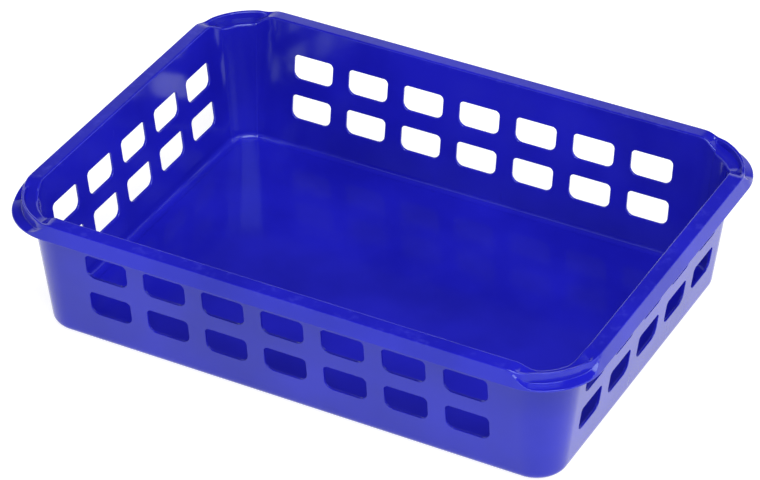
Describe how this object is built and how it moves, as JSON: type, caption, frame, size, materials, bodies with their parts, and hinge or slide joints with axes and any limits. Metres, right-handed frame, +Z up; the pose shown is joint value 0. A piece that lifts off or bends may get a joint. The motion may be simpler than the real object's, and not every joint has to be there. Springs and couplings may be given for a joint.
{
  "type": "letter tray",
  "caption": "Shallow moulded plastic letter tray with pierced sloping walls, a raised floor panel, a turned-down rim and sunken ridged corners for stacking.",
  "frame": {"origin": "centre of the footprint, on the surface that the tray stands on", "axes": "+X along the long walls, +Y from the front long wall to the back one, +Z up"},
  "size_m": [0.3496, 0.2582, 0.0812],
  "materials": {
    "moulded_plastic": "glossy"
  },
  "bodies": {
    "root": {"back_base": "moulded_plastic", "back_left_base": "moulded_plastic", "back_left_rim_corner": "moulded_plastic", "back_left_wall": "moulded_plastic", "back_right_base": "moulded_plastic", "back_right_rim_corner": "moulded_plastic", "back_right_wall": "moulded_plastic", "back_rim_skirt": "moulded_plastic", "back_rim_top": "moulded_plastic", "back_wall": "moulded_plastic", "floor_panel": "moulded_plastic", "front_base": "moulded_plastic", "front_left_base": "moulded_plastic", "front_left_rim_corner": "moulded_plastic", "front_left_wall": "moulded_plastic", "front_right_base": "moulded_plastic", "front_right_rim_corner": "moulded_plastic", "front_right_wall": "moulded_plastic", "front_rim_skirt": "moulded_plastic", "front_rim_top": "moulded_plastic", "front_wall": "moulded_plastic", "left_base": "moulded_plastic", "left_rim_skirt": "moulded_plastic", "left_rim_top": "moulded_plastic", "left_wall": "moulded_plastic", "right_base": "moulded_plastic", "right_rim_skirt": "moulded_plastic", "right_rim_top": "moulded_plastic", "right_wall": "moulded_plastic"}
  },
  "joints": []
}
